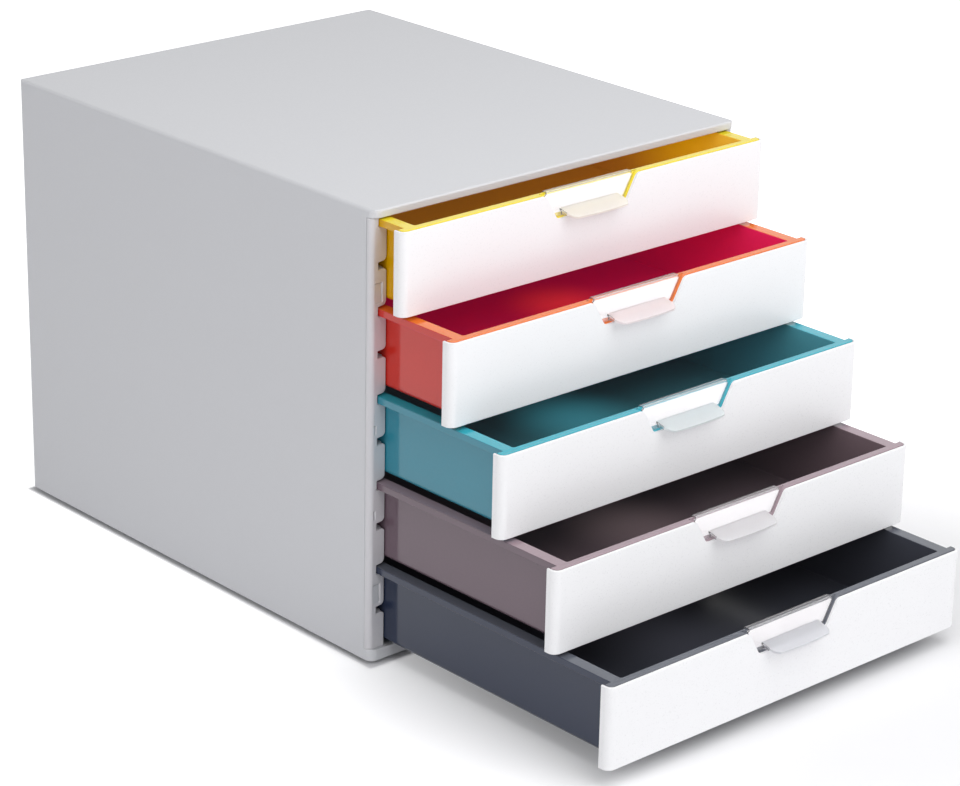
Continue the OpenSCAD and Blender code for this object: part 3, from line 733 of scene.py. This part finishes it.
openings = {opening["name"]: opening for opening in frame["record"]["physics"]["openings"]}
for number, dyeAndPaintedLight in enumerate(trayDyesAndPaintedLight, 1):
    body = f"drawer_{number}"
    coverLow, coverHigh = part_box(f"front_cover_{number}")
    # the tongue's tint is a painted reflection of its tray's colour
    paintedTintTongue = clearPlastic({
        **tongueLook, "name": f"satinClearPolystyrenePaintedTint_{dyeAndPaintedLight['name']}", "tint": dyeAndPaintedLight["tongue"]})
    finishedCopy(f"tray_{number}", f"tray{number}",
                 {"width": drawerEdges["tray"], "soft": drawerEdges["rim"],
                  "isSoft": rimEdge(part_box(f"tray_{number}"))}, body,
                 trayMaterials(dyeAndPaintedLight, coverLow), paintedLightZoneOf(openings[f"{body}_inside"], coverHigh.z))
    frontCover(number, body)
    finishedCopy(f"label_card_{number}", f"labelCard{number}", {"width": drawerEdges["card"]}, body,
                 [labelPaper])
    finishedCopy(f"clear_grip_{number}", f"clearGrip{number}", {"width": drawerEdges["grip"]}, body,
                 [clearWindow, paintedTintTongue], isTongue(coverLow.y))
print("drawers finished:", len(trayDyesAndPaintedLight))


# The place and reach are in metres, the turn in degrees, the lens and its sensor in mm
cameraLook = {"place": (-1.23355, -1.45515, 0.82613), "turn": (68.7912, -1.0663, -42.0241),
              "lens": 118.482, "sensor": 36, "reach": 50}
cameraData = bpy.data.cameras.new("camera")
cameraData.lens = cameraLook["lens"]
cameraData.sensor_width = cameraLook["sensor"]
cameraData.clip_end = cameraLook["reach"]
camera = newObject("camera", cameraData)
camera.location = cameraLook["place"]
camera.rotation_euler = [math.radians(angle) for angle in cameraLook["turn"]]
bpy.context.scene.camera = camera

# The floor is a white sweep, in metres. What is seen of it glows, and the glow carries painted
# shadows: a painted shadow pool near the lowest drawers, where the glow is little, rising to more
# away from them, and a painted contact shadow that keeps the glow off under the housing and lets it
# start over a narrow width beside it. What is seen of the world is plain white.
studio = {
    "floorSize": 9.0, "floorColour": "#e8e8ea", "skyLight": 0.4, "skySeen": 1.0,
    "paintedShadowCentre": (0.08, -0.36, 0), "glowInPaintedShadow": 0.06, "glowFar": 0.82, "paintedShadowCore": 0.12,
    "paintedShadowReach": 0.51, "paintedContactShadowWidth": 0.004}
lamps = [
    {"name": "overhead", "place": (0.0, -0.9, 1.3), "aim": (0, -0.2, 0.1), "size": 1.4,
     "power": 15},
    {"name": "front", "place": (0.7, -2.6, 1.15), "aim": (0, -0.2, 0.15), "size": 2.6,
     "power": 16.6},
    {"name": "side", "place": (-2.0, -0.6, 0.55), "aim": (-0.1, -0.1, 0.1), "size": 1.2,
     "power": 8.6},
]


def seenPath(tree):
    # 1 for what the camera sees, straight, mirrored or through a clear piece
    path = addNode(tree, "ShaderNodeLightPath")
    straightOrMirrored = addNode(tree, "ShaderNodeMath", {"operation": "MAXIMUM"}, {
        "Value": path.outputs["Is Camera Ray"], "Value_001": path.outputs["Is Glossy Ray"]})
    seen = addNode(tree, "ShaderNodeMath", {"operation": "MAXIMUM"}, {
        "Value": straightOrMirrored.outputs["Value"],
        "Value_001": path.outputs["Is Transmission Ray"]})
    return seen.outputs["Value"]


def paintedContactShadow(tree, place):
    # a painted contact shadow: 0 under the housing, and rising to 1 just outside its footprint
    middle = ((shellLow.x + shellHigh.x) / 2, (shellLow.y + shellHigh.y) / 2, 0)
    reach = ((shellHigh.x - shellLow.x) / 2, (shellHigh.y - shellLow.y) / 2, 0)
    fromMiddle = addNode(tree, "ShaderNodeVectorMath", {"operation": "SUBTRACT"}, {
        "Vector": place, "Vector_001": middle})
    folded = addNode(tree, "ShaderNodeVectorMath", {"operation": "ABSOLUTE"}, {
        "Vector": fromMiddle.outputs["Vector"]})
    past = addNode(tree, "ShaderNodeVectorMath", {"operation": "SUBTRACT"}, {
        "Vector": folded.outputs["Vector"], "Vector_001": reach})
    outside = addNode(tree, "ShaderNodeVectorMath", {"operation": "MAXIMUM"}, {
        "Vector": past.outputs["Vector"], "Vector_001": (0, 0, 0)})
    beside = addNode(tree, "ShaderNodeVectorMath", {"operation": "LENGTH"}, {
        "Vector": outside.outputs["Vector"]})
    clear = addNode(tree, "ShaderNodeMapRange", {"interpolation_type": "SMOOTHSTEP"}, {
        "Value": beside.outputs["Value"], "From Min": 0.0, "From Max": studio["paintedContactShadowWidth"]})
    return clear.outputs["Result"]


def paleFloorPaintedShadow():
    material, tree = startMaterial("paleFloorPaintedShadow")
    matt = addNode(tree, "ShaderNodeBsdfDiffuse", links={
        "Color": linearColour(studio["floorColour"])})
    place = addNode(tree, "ShaderNodeTexCoord").outputs["Object"]
    # the glow is lowest in a painted shadow pool near the lowest drawers, and rises away from it
    away = addNode(tree, "ShaderNodeVectorMath", {"operation": "DISTANCE"}, {
        "Vector": place, "Vector_001": studio["paintedShadowCentre"]})
    glowAroundPaintedShadow = addNode(tree, "ShaderNodeMapRange", {"interpolation_type": "SMOOTHSTEP"}, {
        "Value": away.outputs["Value"], "From Min": studio["paintedShadowCore"],
        "From Max": studio["paintedShadowReach"], "To Min": studio["glowInPaintedShadow"], "To Max": studio["glowFar"]})
    glowPastPaintedShadows = addNode(tree, "ShaderNodeMath", {"operation": "MULTIPLY"}, {
        "Value": paintedContactShadow(tree, place), "Value_001": glowAroundPaintedShadow.outputs["Result"]})
    glow = addNode(tree, "ShaderNodeMath", {"operation": "MULTIPLY"}, {
        "Value": seenPath(tree), "Value_001": glowPastPaintedShadows.outputs["Value"]})
    light = addNode(tree, "ShaderNodeEmission", links={"Strength": glow.outputs["Value"]})
    both = addNode(tree, "ShaderNodeAddShader", links={
        "Shader": matt.outputs["BSDF"], "Shader_001": light.outputs["Emission"]})
    finishMaterial(tree, both.outputs["Shader"])
    return material


half = studio["floorSize"] / 2
floorMesh = bpy.data.meshes.new("floor")
floorMesh.from_pydata([(-half, -half, 0), (half, -half, 0), (half, half, 0), (-half, half, 0)], [],
                      [(0, 1, 2, 3)])
floorMesh.materials.append(paleFloorPaintedShadow())
floor = newObject("floor", floorMesh)

world = bpy.data.worlds.new("studio")
world.use_nodes = True
world.node_tree.nodes.clear()
strength = addNode(world.node_tree, "ShaderNodeMix", {"data_type": "FLOAT"}, {
    "Factor_Float": seenPath(world.node_tree), "A_Float": studio["skyLight"],
    "B_Float": studio["skySeen"]})
sky = addNode(world.node_tree, "ShaderNodeBackground", links={
    "Color": (1, 1, 1, 1), "Strength": socketOf(strength.outputs, "Result_Float")})
addNode(world.node_tree, "ShaderNodeOutputWorld", links={"Surface": sky.outputs["Background"]})
bpy.context.scene.world = world

for lamp in lamps:
    data = bpy.data.lights.new(lamp["name"], "AREA")
    data.energy = lamp["power"]
    data.size = lamp["size"]
    light = newObject(lamp["name"], data)
    light.location = lamp["place"]
    towards = Vector(lamp["aim"]) - Vector(lamp["place"])
    light.rotation_euler = towards.to_track_quat("-Z", "Y").to_euler()
bpy.context.scene.view_settings.view_transform = "Standard"
print("camera, floor and lamps placed")
